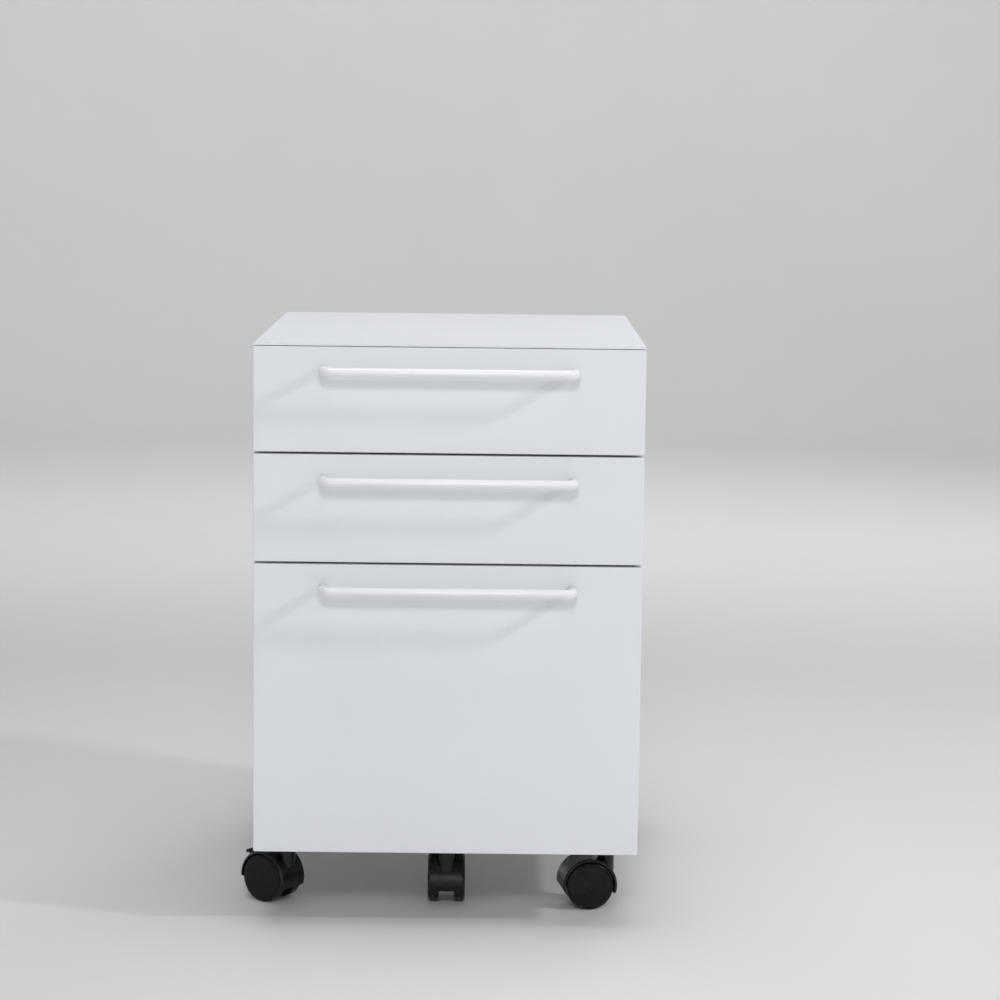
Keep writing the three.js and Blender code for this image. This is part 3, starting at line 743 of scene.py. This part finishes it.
def blind_rivet():
    """A blind rivet's dome, with the hole that its pin broke off in."""
    head = 3.2 * MM
    height = 1.2 * MM
    sunk = 0.3 * MM
    hole = 0.9 * MM
    hole_floor = 0.5 * MM
    profile = [(0, -sunk), (head, -sunk), (head, 0.15 * MM)]
    profile += arc((head - 1.5 * MM, 0), height, 20, 85, 5)
    profile += [(hole + 0.2 * MM, height), (hole, hole_floor), (0, hole_floor)]
    return mesh_of("blind_rivet", lathe(profile, SCREW_SIDES))


def round_buffer():
    """A stick-on buffer."""
    radius = 4 * MM
    height = 0.9 * MM
    edge = 0.7 * MM
    sunk = 0.2 * MM
    profile = [(0, -sunk), (radius, -sunk), (radius, 0.2 * MM)]
    profile += arc((radius - edge, 0.2 * MM), edge, 0, 90, 4)
    profile += [(0, height)]
    return mesh_of("round_buffer", lathe(profile, SCREW_SIDES))


SCREW = pan_screw()
RIVET = blind_rivet()
BUFFER = round_buffer()


def add_screws(name, body, spots, direction):
    """Screws at these spots, whose heads face a direction, each turned at random."""
    places = []
    for spot in spots:
        spin = Matrix.Rotation(random.uniform(0, math.pi), 4, "Z")
        places.append(facing(spot, direction) @ spin)
    screws = add_piece(name, copies(name, SCREW, places), BRIGHT_STEEL, body)
    screws.data.set_sharp_from_angle(angle=SCREW_SHARP_ANGLE)


def screw_handle(drawer):
    """The two screws that hold a handle, seen inside the tray's front wall."""
    low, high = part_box(f"{drawer}_handle")
    tray_sheet = 0.8 * MM
    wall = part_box(f"{drawer}_tray")[0].y + tray_sheet
    z = (low.z + high.z) / 2
    post = HANDLE_HALF - 5 * MM
    spots = [(side * post, wall, z) for side in SIDES.values()]
    add_screws(f"{drawer}_handle_screws", drawer, spots, (0, 1, 0))


def screw_inner_rails(drawer):
    """Three screws through each inner slide member into the tray."""
    for side, sign in SIDES.items():
        low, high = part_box(f"{drawer}_{side}_inner_rail")
        web = (low.x if sign > 0 else high.x) + sign * RAIL_SHEET
        z = (low.z + high.z) / 2
        length = high.y - low.y
        spots = [(web, low.y + length * share, z) for share in (0.12, 0.5, 0.86)]
        add_screws(f"{drawer}_{side}_rail_screws", drawer, spots, (sign, 0, 0))


def add_buffers(drawer):
    """Two buffers on the flange behind a drawer front."""
    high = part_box(f"{drawer}_front")[1]
    x = high.x - 6.5 * MM
    z = high.z - 20 * MM
    spots = [(sign * x, high.y, z) for sign in SIDES.values()]
    name = f"{drawer}_buffers"
    places = [facing(spot, (0, 1, 0)) for spot in spots]
    add_piece(name, copies(name, BUFFER, places), BUFFER_RUBBER, drawer)


def screw_caster_plates():
    """Four screws at the corners of each caster's plate."""
    for caster, body in CASTERS.items():
        low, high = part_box(f"{caster}_plate")
        middle = (low + high) / 2
        plate_sheet = 2.5 * MM
        under = high.z - plate_sheet
        inset = 14 * MM
        corners = [(a * inset, b * inset) for a in (-1, 1) for b in (-1, 1)]
        spots = [(middle.x + x, middle.y + y, under) for x, y in corners]
        add_screws(f"{caster}_plate_screws", body, spots, (0, 0, -1))


def add_rivets(name, body, spots, direction):
    """Rivets at these spots, whose domes face a direction."""
    places = [facing(spot, direction) for spot in spots]
    add_piece(name, copies(name, RIVET, places), BRIGHT_STEEL, body)


def evenly(low, high, count, inset):
    """Places along a length, the first and last this far inside its ends."""
    span = high - low - 2 * inset
    return [low + inset + span * step / (count - 1) for step in range(count)]


def rivet_back_panel():
    """Blind rivets down both sides of the back panel."""
    low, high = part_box("back_panel")
    edge = 7.5 * MM
    rows = evenly(low.z, high.z, 6, 22 * MM)
    spots = [(sign * (high.x - edge), high.y, z) for sign in SIDES.values() for z in rows]
    add_rivets("back_panel_rivets", "root", spots, (0, 1, 0))


def rivet_underside():
    """Rivets through the brims of the caster rails, and through the centre bracket's wings."""
    sheet = 1.5 * MM
    for side, sign in SIDES.items():
        low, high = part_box(f"{side}_caster_rail")
        x = (low.x if sign > 0 else high.x) + sign * 5 * MM
        spots = [(x, y, high.z - sheet) for y in evenly(low.y, high.y, 5, 18 * MM)]
        add_rivets(f"{side}_caster_rail_rivets", "root", spots, (0, 0, -1))
    low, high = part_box("centre_caster_bracket")
    wing = 7 * MM
    columns = (low.x + wing, high.x - wing)
    rows = evenly(low.y, high.y, 2, 12 * MM)
    corners = [(x, y) for x in columns for y in rows]
    spots = [(x, y, high.z - sheet) for x, y in corners]
    add_rivets("centre_bracket_rivets", "file_drawer", spots, (0, 0, -1))


# ------------------------------------------------------------------ ball cages of the slides

CAGE_LENGTH = 84 * MM
CAGE_PITCH = 7 * MM
CAGE_SHEET = 0.5 * MM
CAGE_WIDTH = 5.4 * MM
CAGE_X = 181.2 * MM  # middle of the balls' row, between the lips and the web
BALL_CLEARANCE = 0.05 * MM


def ball_row(shape, x, y0, z, radius):
    """One strip of a ball cage, with its balls standing out on both faces."""
    strip = mesh_of(
        "strip",
        block(
            (x - CAGE_WIDTH / 2, y0, z - CAGE_SHEET / 2),
            (x + CAGE_WIDTH / 2, y0 + CAGE_LENGTH, z + CAGE_SHEET / 2),
        ),
    )
    shape.from_mesh(strip)
    count = round(CAGE_LENGTH / CAGE_PITCH) - 1
    for step in range(count):
        y = y0 + CAGE_LENGTH * (step + 1) / (count + 1)
        ball = bmesh.ops.create_uvsphere(shape, u_segments=16, v_segments=10, radius=radius)
        bmesh.ops.translate(shape, verts=ball["verts"], vec=(x, y, z))


def add_cage(name, body, outer, inner, sign):
    """The upper and lower rows of balls between an outer and an inner slide member."""
    outer_low, outer_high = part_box(outer)
    outside = outer_high.z - RAIL_SHEET
    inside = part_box(inner)[1].z
    middle = (outer_low.z + outer_high.z) / 2
    radius = (outside - inside) / 2 - BALL_CLEARANCE
    offset = (outside + inside) / 2 - middle
    shape = bmesh.new()
    for way in (-1, 1):
        ball_row(shape, sign * CAGE_X, outer_low.y + 3 * MM, middle + way * offset, radius)
    piece = add_piece(name, mesh_of(name, shape), BRIGHT_STEEL, body)
    soften(piece, 0.1 * MM, 1, 60)


def add_cages():
    """One cage in each box drawer's slide, and two in each of the file drawer's."""
    for side, sign in SIDES.items():
        for drawer in BOX_DRAWERS:
            rails = (f"{drawer}_{side}_outer_rail", f"{drawer}_{side}_inner_rail")
            add_cage(f"{drawer}_{side}_ball_cage", "root", *rails, sign)
        rail = f"file_drawer_{side}_{{}}_rail"
        outer, middle, inner = (rail.format(part) for part in ("outer", "middle", "inner"))
        add_cage(f"file_drawer_{side}_outer_cage", "root", outer, middle, sign)
        add_cage(f"file_drawer_{side}_inner_cage", "file_slide_middle", middle, inner, sign)


# ------------------------------------------------------------------ floor


def make_floor():
    """A round floor that curves up into a low wall all the way round."""
    profile = [(0, 0), (FLOOR_CENTRE_RADIUS, 0), (FLOOR_RADIUS, 0)]
    profile += arc((FLOOR_RADIUS, COVE_RADIUS), COVE_RADIUS, -90, 0, COVE_STEPS)[1:]
    profile.append((FLOOR_RADIUS + COVE_RADIUS, COVE_HEIGHT))
    shape = bmesh.new()
    rings = []
    for radius, height in profile:
        ring = []
        for step in range(FLOOR_SIDES if radius else 1):
            angle = 2 * math.pi * step / FLOOR_SIDES
            spot = (radius * math.cos(angle), radius * math.sin(angle), height)
            ring.append(shape.verts.new(spot))
        rings.append(ring)
    for step in range(FLOOR_SIDES):
        following = (step + 1) % FLOOR_SIDES
        shape.faces.new((rings[0][0], rings[1][step], rings[1][following]))
        for lower, upper in zip(rings[1:], rings[2:]):
            shape.faces.new((lower[step], upper[step], upper[following], lower[following]))
    floor = bpy.data.objects.new("studio_floor", mesh_of("studio_floor", shape))
    bpy.context.scene.collection.objects.link(floor)
    floor.data.materials.append(studio_floor())
    floor.data.shade_smooth()
    floor.location.z = -FLOOR_DROP


# ------------------------------------------------------------------ the scene

make_camera()
make_light()
make_floor()
finish_cad_nodes()
for drawer in DRAWERS:
    make_handle(drawer)
    screw_handle(drawer)
    screw_inner_rails(drawer)
    add_buffers(drawer)
for caster in CASTERS:
    make_wheels(caster)
screw_caster_plates()
rivet_back_panel()
rivet_underside()
add_cages()
